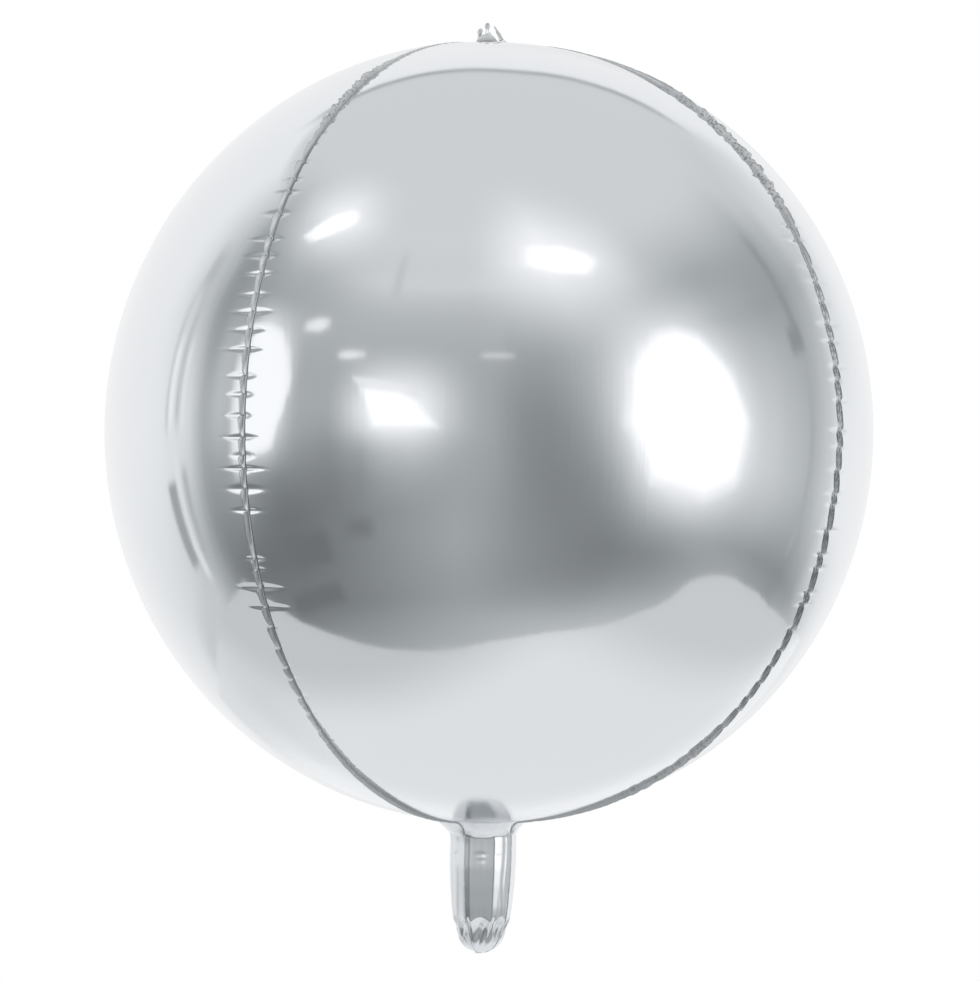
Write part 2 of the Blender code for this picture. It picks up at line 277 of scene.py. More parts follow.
# Glow painted into the floor by zones, with a painted shadow at the front left: the way across and away
# from the camera, where the zone starts and ends along it, and the light before and after
FLOOR_ZONES = (
    ((0.65, 0.76), -0.72, -0.15, 0.0, 0.22),
    ((0.90, -0.43), 0.60, 1.25, 1.0, 0.2),
    ((-1.0, 0.0), 0.50, 1.20, 1.0, 0.5),
    ((0.0, 1.0), 0.90, 1.80, 1.0, 1.5),
)
# Name, brightness of its rim and middle, share of the rim, corners as bearing and elevation in degrees
PANELS = (
    ("tall softbox", 0.94, 1.3, 0.22, (
        (35.4, 16.4), (38.8, 22.0), (44.3, 26.4), (50.9, 27.2), (58.2, 24.6), (66.8, 15.0), (72.3, 2.4),
        (69.0, -12.2), (58.0, -17.2), (40.9, -13.8), (33.4, 2.1),
    )),
    ("window", 0.98, 1.25, 0.2, (
        (-27.3, 11.1), (-14.5, 10.1), (-8.8, 7.5), (-2.5, 0), (-23, 0),
    )),
    ("window blind", 0.9, 0.98, 0.5, (
        (-30.3, 13.9), (-20.9, 13.5), (-10.2, 11.7), (-8, 8.3), (-14.5, 9.8), (-27.3, 10.9),
    )),
    ("strip softbox", 0.95, 1.12, 0.14, (
        (-72.5, 24.6), (-65.8, 25.6), (-58.2, 24.2), (-54.2, 19.5), (-51.8, 13), (-52.0, 9.2),
        (-53.8, 3.5), (-56.4, -1.1), (-58.2, -4.8), (-61.5, -6), (-68.4, -7), (-72.5, -6.5),
    )),
    ("left ceiling lamp", 0.98, 1.3, 0.3, (
        (-71.9, 47), (-70.4, 49.8), (-66.8, 54.3), (-61.4, 57.6), (-55.0, 59.6), (-49.7, 58.3),
        (-48, 56), (-52.8, 53.2), (-58.5, 50.1), (-65.4, 46.6),
    )),
    ("right ceiling lamp", 0.98, 1.3, 0.3, (
        (22.2, 51.6), (32.8, 50.8), (34.6, 49.2), (37.0, 47.5), (37.7, 45.1), (33.8, 41.3), (28, 41.9),
        (20.4, 44.8),
    )),
    ("far lamp", 0.8, 1.0, 0.5, (
        (-51, 27.3), (-46, 28.8), (-41.5, 29), (-41, 26.5), (-45, 24.8), (-51, 24.8),
    )),
    ("far middle lamp", 0.8, 0.98, 0.5, (
        (-36, 20.1), (-32, 21.0), (-26.3, 20.7), (-26.3, 19.3), (-32, 18.3), (-36, 18.5),
    )),
    ("far right lamp", 0.7, 0.84, 0.5, (
        (8, 20.6), (15.6, 20.4), (15.6, 19.2), (8, 19.4),
    )),
)
PANEL_DISTANCE = 14.0
CEILING_BRIGHTNESS = 0.727
STUDIO_PATCHES = (       # name, bearing, half width, softness, elevation, half height, softness, brightness
    ("ceiling", 0, 181, 2, 83, 43, 7, CEILING_BRIGHTNESS),
    ("right back wall", 144, 26, 12, 5, 35, 20, 0.953),
    ("left back wall", -146, 48, 56, 4, 45, 4, 0.934),
    ("room in front", 7, 100, 12, 1, 43, 25, 0.464),
    ("its floor", -19, 73, 47, -27, 16, 25, 0.209),
    ("dark left corner", -54, 72, 125, -47, 17, 65, 0.181),
    ("doorway", 25, 12, 13, -13, 17, 55, 0.049),
    ("glow of the window", -15, 13, 22, 0, 9, 33, 1.802),
    ("glow of the tall softbox", 56, 17, 35, 4, 18, 37, 2.236),
    ("glow of the strip", -70, 4, 36, 10, 14, 19, 3.589),
    ("glow of the left lamp", -59, 13, 44, 56, 5, 23, 1.256),
    ("glow of the right lamp", 28, 8, 34, 46, -3, 64, 2.267),
    ("right side of the room", 80, 15, 48, -1, 29, 26, 0.699),
    ("shade above it", 95, 41, 36, 27, 0, 66, 0.268),
    ("shade below it", 99, 41, 68, -26, 5, 28, 0.246),
    ("far wall", -21, 35, 2, 25, -12, 53, 0.633),
    ("far end of the ceiling", 5, 44, 40, 40, -1, 42, 0.971),
    ("shade on the left", -94, -2, 71, 34, 18, 24, 0.060),
    ("middle of the room", 2, 20, 85, -22, 25, 35, 0.480),
    ("left of the room", -77, 9, 28, 7, 28, 21, 0.397),
    ("left edge of the strip", -74, 2.5, 4, 5, 15, 12, 0.98),
    ("shade by the window", -27, 6, 79, -10, 10, 16, 0.169),
    ("low shelf", -57, 13, 4, -44, 2.6, 3, 0.19),
    ("left end of the floor", -124, 20, 14, -30, 3, 6, 0.67),
    ("dark box", -51, 8.5, 4, -31.5, 4.2, 3, 0.19),
    ("small dark box", -30, 5, 6, -27, 2.5, 4, 0.22),
    ("column by the ceiling", -19.5, 1.5, 3, 42, 7, 8, 0.62),
    ("left stand", -110, 2.5, 1.6, -15.8, 7.3, 2, 0.40),
    ("second left stand", -101.7, 1.3, 2, -15, 8, 4, 0.50),
    ("between the stands", -105.6, 1.3, 2, -15, 12, 4, 0.87),
    ("left pole", -110.5, 0.8, 1.6, 12, 12, 6, 0.62),
    ("its light side", -108.4, 1.1, 1.6, 8, 7, 5, 1.0),
    ("second left pole", -104.6, 1.2, 2, 13, 12, 6, 0.60),
    ("its light side too", -101.5, 0.9, 1.5, 8, 8, 5, 0.90),
    ("heads of the left stands", -107, 3, 3, 29, 4, 6, 0.57),
    ("right stand", 101.9, 1.0, 2, -2, 19, 6, 0.48),
    ("its upper half", 101.7, 1.7, 2, 29, 10, 6, 0.35),
    ("its head", 100.2, 3.8, 3, 18.4, 2.5, 3, 0.33),
)
OPEN_STUDIO = 0.673      # brightness between the patches
SHADE_TINT = (0.925, 1.0, 1.03)
BACKDROP_TOP = 52.0      # elevation of the backdrop's top edge straight behind the balloon
BACKDROP_EDGE_BLUR = 0.006            # radians
BACKDROP_SIDES = (140.0, 152.0)       # bearings between which it fades in, to each side
BACKDROP_FOOT = (20.0, 34.0)          # elevations between which it does, going up
BACKDROP_BRIGHTNESS = 0.94
HEM_BRIGHTNESS = 0.42    # of the dark line along that edge
HEM_HALF_WIDTH = 2.4     # degrees


def linear(colour):
    """An sRGB hex colour as linear red, green and blue."""
    parts = [int(colour[i:i + 2], 16) / 255 for i in (1, 3, 5)]
    return tuple(c / 12.92 if c <= 0.04045 else ((c + 0.055) / 1.055) ** 2.4 for c in parts)


class FilmForm(bpy.types.PropertyGroup):
    """Sizes of the inflated film."""

    gore_radius: FloatProperty(
        name="Gore radius", description="From the axis to the middle of a gore", default=GORE_RADIUS,
        unit="LENGTH",
    )
    crown_height: FloatProperty(
        name="Crown height", description="From the belly's middle to the crown", default=0.2005,
        unit="LENGTH",
    )
    base_depth: FloatProperty(
        name="Base depth", description="From the belly's middle to where its underside would close",
        default=0.2007, unit="LENGTH",
    )
    belly_squareness: FloatProperty(
        name="Belly squareness", description="Superellipse power of the belly's level section", default=2.3
    )
    neck_squareness: FloatProperty(
        name="Neck squareness", description="Superellipse power of the neck's level section", default=2.0
    )
    rounding_height: FloatProperty(
        name="Rounding height", description="Below it the section turns round", default=-0.165,
        unit="LENGTH",
    )
    fillet: FloatProperty(
        name="Neck fillet", description="Hollow curve from belly to neck, at the seams", default=0.008,
        unit="LENGTH",
    )
    fillet_flatness: FloatProperty(
        name="Fillet flatness", description="How flat that curve is in the middle of a gore", default=0.9,
        min=0, max=1,
    )
    film: FloatProperty(
        name="Film", description="Thickness of the film's wall", default=0.00014, unit="LENGTH"
    )
    crease_width: FloatProperty(
        name="Crease width", description="Half width of a crease", default=0.0024, unit="LENGTH"
    )
    crease_depth: FloatProperty(
        name="Crease depth", description="Depth of the creases over that in their table", default=0.54
    )
    crease_reach: FloatProperty(
        name="Crease reach", description="Reach of the creases over that in their table", default=0.95
    )
    neck_aside: FloatProperty(
        name="Neck aside", description="How far the neck hangs to the right", default=0.0016, unit="LENGTH"
    )


class FinForm(bpy.types.PropertyGroup):
    """Sizes of the heat-sealed seam fins."""

    height: FloatProperty(name="Height", description="Over that in the fins' tables", default=1.0)
    height_neck: FloatProperty(
        name="Height on the neck", description="From the neck's sides", default=0.0003, unit="LENGTH"
    )
    thickness: FloatProperty(
        name="Thickness", description="Two layers of film", default=0.00028, unit="LENGTH"
    )
    root: FloatProperty(
        name="Root", description="How deep it reaches inside", default=0.0012, unit="LENGTH"
    )


class FoilFinish(bpy.types.PropertyGroup):
    """Colours and gloss of the foil and the floor."""

    film: FloatVectorProperty(
        name="Film", description="Colour of the mirror film", subtype="COLOR", default=linear("#ECEEF1")
    )
    sealed: FloatVectorProperty(
        name="Sealed film", description="Colour of the sealed seams", subtype="COLOR",
        default=linear("#E3E5E6"),
    )
    # Colour of the painted shade on the seam fins and round the knots
    painted_shade: FloatVectorProperty(
        name="Pressed film", description="Colour of the seams where the press greyed them",
        subtype="COLOR", default=linear("#6C7072"),
    )
    floor: FloatVectorProperty(
        name="Floor", description="Colour of the studio's floor", subtype="COLOR",
        default=linear("#EFEFEF"),
    )
    film_roughness: FloatProperty(
        name="Film roughness", description="Blur of what the film mirrors", default=0.085, min=0, max=1
    )
    sealed_roughness: FloatProperty(
        name="Sealed film roughness", description="Blur on the sealed seams", default=0.22, min=0, max=1
    )


def smooth_share(values, low, high):
    """0 below low and 1 above high, with the smooth rise 3 s^2 - 2 s^3 between them."""
    share = np.clip((values - low) / (high - low), 0, 1)
    return share * share * (3 - 2 * share)


def wander(dice, positions, pitch):
    """A random wave in -1 to 1: a seeded height at each pitch, joined by smooth rises."""
    knots = np.arange(positions.min() - 2 * pitch, positions.max() + 3 * pitch, pitch)
    heights = dice.uniform(-1, 1, len(knots))
    place = (positions - knots[0]) / pitch
    index = np.clip(place.astype(int), 0, len(knots) - 2)
    share = smooth_share(place - index, 0, 1)
    return heights[index] * (1 - share) + heights[index + 1] * share


def drifting_wave(dice, angle, station, pitch, drift, run):
    """A random wave round the axis, of pitch degrees, that drifts by drift degrees with each run down."""
    return wander(dice, angle + drift * wander(dice, station, run), pitch)


def section(form, azimuth, height):
    """Radius of a level section, 1 at the middle of a gore: (|cos|^n + |sin|^n)^(-1/n).

    n is its squareness: the belly's, fading to the neck's at the bottom.
    """
    share = np.clip((height - NECK_TOP) / (form.rounding_height - NECK_TOP), 0, 1)
    power = form.neck_squareness + (form.belly_squareness - form.neck_squareness) * share
    return (np.abs(np.cos(azimuth)) ** power + np.abs(np.sin(azimuth)) ** power) ** (-1 / power)


def film_profile(form):
    """The middle line of a gore from the crown to the neck's end, as a dictionary of arrays.

    It is an ellipse down to the fillet, an arc of the fillet's radius, the neck's taper, and an elliptical
    end. flat_out and flat_down lead from the arc to its chord, along the rays from its centre. length runs
    along the line, latitude is the ellipse's own angle.
    """
    on_belly, on_fillet, on_neck, on_end = PROFILE_STEPS
    centre_radius = NECK_RADIUS + form.fillet
    reach = form.base_depth + form.fillet
    centre_height = -math.sqrt(reach ** 2 - centre_radius ** 2)
    lowest = -math.acos(centre_radius * form.base_depth / reach / form.gore_radius)
    latitude = np.linspace(math.acos(POLE_RADIUS / form.gore_radius), lowest, on_belly)
    half_height = np.where(latitude > 0, form.crown_height, form.base_depth)

    turn = math.atan2(-centre_height, centre_radius)
    ray = np.linspace(turn, 0, on_fillet)[1:]
    chord = math.cos(turn / 2) / np.cos(ray - turn / 2) - 1

    depths, radii = np.array(NECK_TAPER).T
    depth = np.linspace(0, depths[-1], on_neck)[1:]
    window = np.hanning(2 * TAPER_SMOOTHING + 1)
    taper = np.pad(np.interp(depth, depths, radii), TAPER_SMOOTHING, "edge")
    taper = np.convolve(taper, window / window.sum(), "valid")
    steep = np.linspace(0, math.acos(POLE_RADIUS / radii[-1]), on_end)[1:]

    radius = np.concatenate((
        form.gore_radius * np.cos(latitude), centre_radius - form.fillet * np.cos(ray), taper,
        radii[-1] * np.cos(steep),
    ))
    height = np.concatenate((
        half_height * np.sin(latitude), centre_height + form.fillet * np.sin(ray), centre_height - depth,
        centre_height - depths[-1] - NECK_END_HEIGHT * np.sin(steep),
    ))
    arc = slice(on_belly, on_belly + len(ray))
    flat_out, flat_down = np.zeros((2, len(radius)))
    flat_out[arc] = -form.fillet * chord * np.cos(ray)
    flat_down[arc] = form.fillet * chord * np.sin(ray)
    length = np.concatenate(((0.0,), np.cumsum(np.hypot(np.diff(radius), np.diff(height)))))
    return {
        "radius": radius, "height": height, "flat_out": flat_out, "flat_down": flat_down, "length": length,
        "latitude": np.degrees(latitude), "neck_top": centre_height, "belly_end": length[on_belly - 1],
        "arc_end": length[arc.stop - 1], "taper_end": length[-len(steep) - 1],
    }


def value_at(profile, key, station):
    """A value of the profile at each station along it."""
    return np.interp(station, profile["length"], profile[key])


def station_of(profile, latitude):
    """How far along the profile a latitude in degrees lies."""
    return np.interp(-latitude, -profile["latitude"], profile["length"][:len(profile["latitude"])])


def seam_creases(form, profile, seam):
    """The creases along one seam as arrays: station along the profile, depth, reach to each side, width.

    They lie at even latitudes with a seeded shift, shallow near the crown and the neck. The front left
    seam's middle ones come from the table.
    """
    dice = np.random.default_rng(SEAMS[seam][1])
    high, upper, lower, low = CREASE_LATITUDES
    middle = len(FRONT_LEFT_CREASES)
    top = np.linspace(high, upper, CREASES_ABOVE + 1)[:-1]
    bottom = np.linspace(lower, low, CREASES_BELOW + 1)[1:]
    latitude = np.concatenate((top, np.linspace(upper, lower, middle), bottom))
    count = len(latitude)
    shift, *spreads, wide = CREASE_DRAWS
    latitude = latitude + dice.uniform(-shift, shift, count) * (high - low) / (count - 1)
    strength = smooth_share(latitude, *CREASES_FADE_IN) * (1 - smooth_share(latitude, *CREASES_FADE_OUT))
    faint, strong = np.array(DRAWN_CREASES)[:, :, None]
    size = faint + strong * strength
    depth = size[0] * dice.uniform(*spreads[0], count)
    reach = size[1] * dice.uniform(*spreads[1], (2, count))
    if seam == "front_left":
        table = np.array(FRONT_LEFT_CREASES).T
        rows = slice(CREASES_ABOVE, CREASES_ABOVE + middle)
        latitude[rows], depth[rows], reach[:, rows] = table[0], table[1], table[2:]
    station = station_of(profile, latitude)
    gap = np.diff(station, prepend=0.0, append=profile["belly_end"])
    width = form.crease_width * dice.uniform(*wide, count)
    width = np.minimum(width, CREASE_CROWDING * np.minimum(gap[:-1], gap[1:]))
    depth, reach = depth * form.crease_depth, reach * form.crease_reach
    return {"station": station, "depth": depth, "reach": reach, "width": width}


def film_stations(profile, creases):
    """Stations of the film's rows along one seam, and how many of them lie above the last of the belly.

    There are a few round each crease and evenly spaced ones between. Below them come the last of the belly,
    the fillet, where they crowd in the middle, the neck and its end, the same on every seam.
    """
    centre = creases["station"][:, None] + creases["width"][:, None] * np.array(CREASE_ROWS)
    before = np.concatenate(((0.0,), centre[:-1, -1]))
    share = np.arange(1, ROWS_BETWEEN + 1) / (ROWS_BETWEEN + 1)
    between = before[:, None] + (centre[:, 0] - before)[:, None] * share
    creased = np.concatenate(((0.0,), np.concatenate((between, centre), axis=1).ravel()))

    fillet_rows, neck_rows, end_rows = LOWER_ROWS
    spread = np.linspace(-1, 1, fillet_rows)
    fillet = 0.5 + 0.5 * np.sign(spread) * np.abs(spread) ** 1.5
    start, end, taper_end = profile["belly_end"], profile["arc_end"], profile["taper_end"]
    neck = np.linspace(end, taper_end, neck_rows)[1:]
    closing = np.linspace(taper_end, profile["length"][-1], end_rows)[1:]
    return np.concatenate((creased, start + (end - start) * fillet, neck, closing)), len(creased)


def dip(distance, station, creases, side):
    """How far the film dips along the rows of one seam.

    A crease is a pointed lens: with u the share of its reach, its half width goes as 1 - 0.75 u^1.5 and
    its depth as 1 - u^2. Across, it is a smooth valley, half of 1 + cos(pi q) with q in half widths.
    """
    nearest = np.repeat(np.arange(len(creases["station"])), len(CREASE_ROWS) + ROWS_BETWEEN)
    centre, depth, width = (creases[key][nearest][:, None] for key in ("station", "depth", "width"))
    along = np.clip(distance / creases["reach"][side][nearest][:, None], 0, 1)
    across = np.clip(np.abs(station - centre) / (width * (1 - 0.75 * along ** 1.5)), 0, 1)
    return depth * (1 - along ** 2) * (1 + np.cos(math.pi * across)) / 2


def surface_normals(points):
    """Unit normals of a grid of points: the cross product of its two gradients."""
    normal = np.cross(np.gradient(points, axis=0), np.gradient(points, axis=1))
    return normal / np.maximum(np.linalg.norm(normal, axis=2, keepdims=True), 1e-12)


def hang_aside(form, points):
    """Moves the neck's points to the picture's right: a smooth step of the depth, times 1 - 8 depths."""
    depth = NECK_TOP - points[..., 2]
    share = smooth_share(depth, *NECK_ASIDE_FADE) * (1 - NECK_RETURN * depth)
    return points + share[..., None] * RIGHTWARD * form.neck_aside


def tucked(depth, azimuth, off_fold):
    """Share of the radius that is left at a depth below the neck's top, where its end is tucked in.

    The tuck starts in an arch between two folds, off_fold being 0 at its middle and 1 at the folds, and
    runs as 1 - (1 - q)^2. It is deepest at the front and back: 0.35 + 0.65 cos^2 of the azimuth from there.
    """
    share = np.clip((depth - TUCK_START - TUCK_ARCH * off_fold ** 2) / TUCK_RUN, 0, 1)
    facing = 0.35 + 0.65 * np.cos(azimuth - math.radians(TUCK_FACING)) ** 2
    return 1 - TUCK * facing * (1 - (1 - share) ** 2)


def folded_neck(reach, depth, azimuth, across, folds, flatness, seed):
    """The neck's radius with its flat facets, small creases, pleats, tuck and crumples.

    Between two folds the arc is flattened: it loses R (1 - cos h) (1 - t^2), h half the facet's angle and
    t in -1 to 1 across it. The pleats and crumples are seeded waves round the neck that drift with the
    depth, and fade out at the seams as 1 - across^8.
    """
    dice = np.random.default_rng(seed)
    angle = np.clip(across, -0.9999, 0.9999) * HALF_SIDE
    edges = np.array(folds, dtype=float)
    facet = np.searchsorted(edges, angle) - 1
    half = (edges[facet + 1] - edges[facet]) / 2
    off_fold = (angle - edges[facet] - half) / half
    arch = 1 - off_fold ** 2
    flattened = np.array(flatness)[facet]
    flat = reach * (1 - np.cos(np.radians(half))) * arch * flattened
    for middle, wide, below, inward in NECK_CREASES:
        mark = np.exp(-((depth - below) / NECK_CREASE_WIDTH) ** 2 - ((angle - middle) / wide) ** 2)
        flat = flat + inward * arch * mark
    off_seams = 1 - np.abs(across) ** 8
    pleats = drifting_wave(dice, angle, depth, *PLEAT_WAVE)
    flat = flat + NECK_PLEATS * (1 - flattened) * off_seams * pleats
    share = np.clip((depth - TUCK_START + TUCK_ARCH * (arch - 1)) / CRUMPLE_FADE, 0, 1)
    crumple = drifting_wave(dice, angle, depth, *CRUMPLE_WAVE)
    crumple = crumple + 0.6 * wander(dice, depth + angle / 2000, CRUMPLE_PITCH)
    crumple = CRUMPLE * share * crumple * off_seams * reach / NECK_RADIUS
    inward = smooth_share(depth, *FACETS_FADE) * flat + crumple
    return (reach - inward) * tucked(depth, azimuth, off_fold)


def quads(rows, columns, wrap=False):
    """Corners of the faces of a grid, rows running down and columns running right seen from outside."""
    index = np.arange(rows * columns).reshape(rows, columns)
    right = np.roll(index, -1, axis=1) if wrap else index[:, 1:]
    left = index if wrap else index[:, :-1]
    return np.stack((left[:-1], left[1:], right[1:], right[:-1]), axis=-1).reshape(-1, 4).tolist()


def fan(centre, rim):
    """Corners of the triangles from a middle point to each stretch of its rim."""
    return np.stack((np.full(len(rim), centre), rim, np.roll(rim, -1)), axis=-1).tolist()


def mesh_object(name, points, faces, grain=None):
    """A smooth mesh from points and its faces' corners; grain is each point's place on the flat film."""
    mesh = bpy.data.meshes.new(name)
    mesh.from_pydata(points.reshape(-1, 3).tolist(), [], faces)
    if grain is not None:
        layer = mesh.uv_layers.new(name="grain")
        corner_points = np.empty(len(mesh.loops), dtype=np.int32)
        mesh.loops.foreach_get("vertex_index", corner_points)
        layer.data.foreach_set("uv", grain.reshape(-1, 2)[corner_points].ravel().astype(np.float32))
    mesh.shade_smooth()
    obj = bpy.data.objects.new(name, mesh)
    bpy.context.scene.collection.objects.link(obj)
    return obj


def set_attribute(obj, name, values):
    """Gives each point of a mesh its own number, which a material can read."""
    attribute = obj.data.attributes.new(name, "FLOAT", "POINT")
    attribute.data.foreach_set("value", np.asarray(values, dtype=np.float32).ravel())


def thicken(obj, thickness, offset):
    """A wall of even thickness; offset -1 puts it inside the surface and 0 centres it."""
    wall = obj.modifiers.new("wall", "SOLIDIFY")
    wall.thickness = thickness
    wall.offset = offset
    return obj


def dress(obj, material, slot, *nodes):
    """Gives a finished piece its material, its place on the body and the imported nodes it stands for."""
    obj.data.materials.append(material)
    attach(obj, BODY)
    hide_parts(*nodes)


def film_piece(form, fin, side, middle, profile, left, right, folds, flatness):
    """One gore with its side of the neck: a grid of (station, share across) on the balloon's surface.

    A point lies at radius x section at its azimuth. Rows follow the creases of the two seams and relax
    to even spacing in between. The film then dips along its normal at each crease, and by shallow wrinkles
    that fade out from the neck and the crown as exp(-distance / their reach).
    """
    share_edge = np.array(EDGE_COLUMNS) / 1000 / (form.gore_radius * math.pi / 4)
    inner = np.linspace(share_edge[-1], 2 - share_edge[-1], MIDDLE_COLUMNS)[1:-1]
    across = np.concatenate((share_edge, inner, 2 - share_edge[::-1])) - 1

    left_rows, creased = film_stations(profile, left)
    right_rows, creased = film_stations(profile, right)
    lower = left_rows[creased:]
    even = np.concatenate((np.linspace(0, lower[0], creased + 1)[:-1], lower))
    to_right = smooth_share(across, -0.5, 0.5)
    seam_rows = left_rows[:, None] * (1 - to_right) + right_rows[:, None] * to_right
    relaxed = smooth_share(1 - np.abs(across), *ROWS_RELAX)
    station = seam_rows * (1 - relaxed) + even[:, None] * relaxed

    flat = form.fillet_flatness * (1 - np.abs(across) ** 3)
    radius = value_at(profile, "radius", station) + flat * value_at(profile, "flat_out", station)
    height = value_at(profile, "height", station) + flat * value_at(profile, "flat_down", station)
    margin = np.arcsin(np.minimum((fin.thickness / 2 + FIN_GAP) / radius, 0.9))
    azimuth = math.radians(middle) + across * (math.radians(HALF_SIDE) - margin)
    reach = radius * section(form, azimuth, height)
    neck = slice(creased, None)
    depth = profile["neck_top"] - height[neck]
    seed = abs(middle)
    reach[neck] = folded_neck(reach[neck], depth, azimuth[neck], across, folds, flatness, seed)
    points = np.stack((reach * np.cos(azimuth), reach * np.sin(azimuth), height), axis=-1)

    steps = np.linalg.norm(np.diff(points, axis=1), axis=2)
    from_left = np.concatenate((np.zeros((len(points), 1)), np.cumsum(steps, axis=1)), axis=1)
    from_right = from_left[:, -1:] - from_left
    belly = slice(1, creased)
    depth = np.zeros(station.shape)
    depth[belly] = dip(from_left[belly], station[belly], left, 1)
    depth[belly] += dip(from_right[belly], station[belly], right, 0)
    below = smooth_share(station, profile["belly_end"], profile["arc_end"])
    near_neck = np.exp(np.minimum(station - profile["belly_end"], 0) / GATHER_REACH)
    near_crown = np.exp(-station / GATHER_REACH)
    dice = np.random.default_rng(seed + 7)
    wrinkles = drifting_wave(dice, across * HALF_SIDE, station, *GATHER_WAVE) * (1 - across ** 6)
    depth += GATHER * wrinkles * (near_neck + near_crown) * (1 - below)
    points = hang_aside(form, points - surface_normals(points) * depth[..., None])

    grain = np.stack((from_left - from_left[:, -1:] / 2, station), axis=-1)
    film = mesh_object(f"film_{side}", points, quads(*station.shape), grain)
    set_attribute(film, "pucker", near_neck * (1 - 0.7 * below))
    return thicken(film, form.film, -1)


def in_seam_plane(azimuth, reach, aside, height):
    """Points by distance from the axis in a seam's plane, distance aside from that plane, and height."""
    turn = math.radians(azimuth)
    along = reach * math.cos(turn) - aside * math.sin(turn)
    return np.stack((along, reach * math.sin(turn) + aside * math.cos(turn), height), axis=-1)


def fin_piece(form, fin, seam, profile):
    """One seam fin, crown to neck end: a ribbon in the seam's plane from its root inside to its edge.

    The edge stands out along the seam line's normal, arched from crease to crease with a notch at each.
    With p the share of the way between two creases, the arch goes as sin(pi p)^0.55, and the edge sways to
    one side and snaps back as 2 p^1.3 - 1. Where the seal is crinkled, finer buckles lie on top. It is hazy
    there, and as far as its painted shade level is off 1, but clear on the neck. Painted shade darkens it
    along its root, for the contact shadow there, and along its cut edge, for the dark reflections there.
    """
    azimuth, seed, table, root_shade, edge_shade = SEAMS[seam]
    creases = seam_creases(form, profile, seam)
    dice = np.random.default_rng(seed)
    end = profile["length"][-1]
    station = np.linspace(FIN_ENDS[0], end - FIN_ENDS[1], FIN_STEPS)
    height = value_at(profile, "height", station)
    radius = value_at(profile, "radius", station) * section(form, math.radians(HALF_SIDE), height)
    radius = radius * tucked(profile["neck_top"] - height, math.radians(azimuth), 1.0)
    slope_out, slope_up = np.gradient(radius), np.gradient(height)
    size = np.hypot(slope_out, slope_up)

    first, pitch, shallow = NECK_NOTCHES
    added = np.arange(creases["station"][-1] + first, end, pitch)
    lines = np.concatenate((creases["station"], added))
    depths = np.concatenate((creases["depth"], np.full(len(added), shallow)))
    after = np.clip(np.searchsorted(lines, station), 1, len(lines) - 1)
    before = after - 1
    phase = np.clip((station - lines[before]) / (lines[after] - lines[before]), 0, 1)
    closest = np.where(phase < 0.5, before, after)
    across = np.clip(np.abs(station - lines[closest]) / NOTCH_HALF_WIDTH, 0, 1)
    drop = depths[closest] * (1 + np.cos(math.pi * across)) / 2

    latitudes, *sizes, shade_table = np.array(table).T
    places = station_of(profile, latitudes)
    heights, notches, sways, leans, crinkles = (np.interp(station, places, row) / 1000 for row in sizes)
    on_neck = smooth_share(station, profile["belly_end"] - FIN_FADE, profile["arc_end"] + FIN_FADE)
    closing = smooth_share(station, profile["taper_end"], end)
    proud = fin.height * (heights - notches * (1 - np.sin(math.pi * phase) ** 0.55))
    proud = proud * (1 - on_neck) + fin.height_neck * on_neck * (1 - 0.4 * closing)
    proud = np.maximum(proud + 0.6 * crinkles * wander(dice, station, RAGGED_PITCH), LEAST_PROUD)

    lean = dice.uniform(*LEAN_DRAW, len(lines))[before]
    zigzag = np.convolve(np.pad((2 * phase ** 1.3 - 1) * lean, 1, "edge"), (0.25, 0.5, 0.25), "valid")

    out = -fin.root + (fin.root + proud)[:, None] * np.array(FIN_COLUMNS) - drop[:, None]
    above = np.clip(out / proud[:, None], 0, 1)
    at_edge, halfway = BUCKLE_PITCHES
    buckle = wander(dice, station, at_edge)[:, None] * above ** 2
    buckle += wander(dice, station, halfway)[:, None] * np.sin(math.pi * above) * 0.6
    sway = ((sways * zigzag + leans) * (1 - on_neck))[:, None] * above ** 1.2 + crinkles[:, None] * buckle
    reach = radius[:, None] - (slope_up / size)[:, None] * out
    level = height[:, None] + (slope_out / size)[:, None] * out
    points = hang_aside(form, in_seam_plane(azimuth, reach, sway, level))
    ribbon = mesh_object(f"sealed_seam_{seam}", points, quads(*out.shape))

    # Painted shade, at the seam's two levels: along the root for its contact shadow, along the cut edge for
    # its dark reflections; the table's level scales it, and above 1 gives an even painted grey
    grey = root_shade * (1 - smooth_share(above, 0.2, 0.6)) + edge_shade * smooth_share(above, 0.5, 0.9)
    painted_shade = np.interp(station, places, shade_table)
    shade_share = (painted_shade * (1 - on_neck))[:, None]
    hazy = np.abs(1 - painted_shade) * (1 - on_neck) + 1000 * crinkles
    set_attribute(ribbon, "grey", np.maximum(grey * np.minimum(shade_share, 2 - shade_share), shade_share - 1))
    set_attribute(ribbon, "crinkled", 1000 * crinkles[:, None] + 0 * out)
    set_attribute(ribbon, "hazy", hazy[:, None] + 0 * out)
    return thicken(ribbon, fin.thickness, 0)


def stand_aside(points):
    """Moves the crown's points to the picture's left, as its knot stands off the axis."""
    return points + CROWN_ASIDE * RIGHTWARD


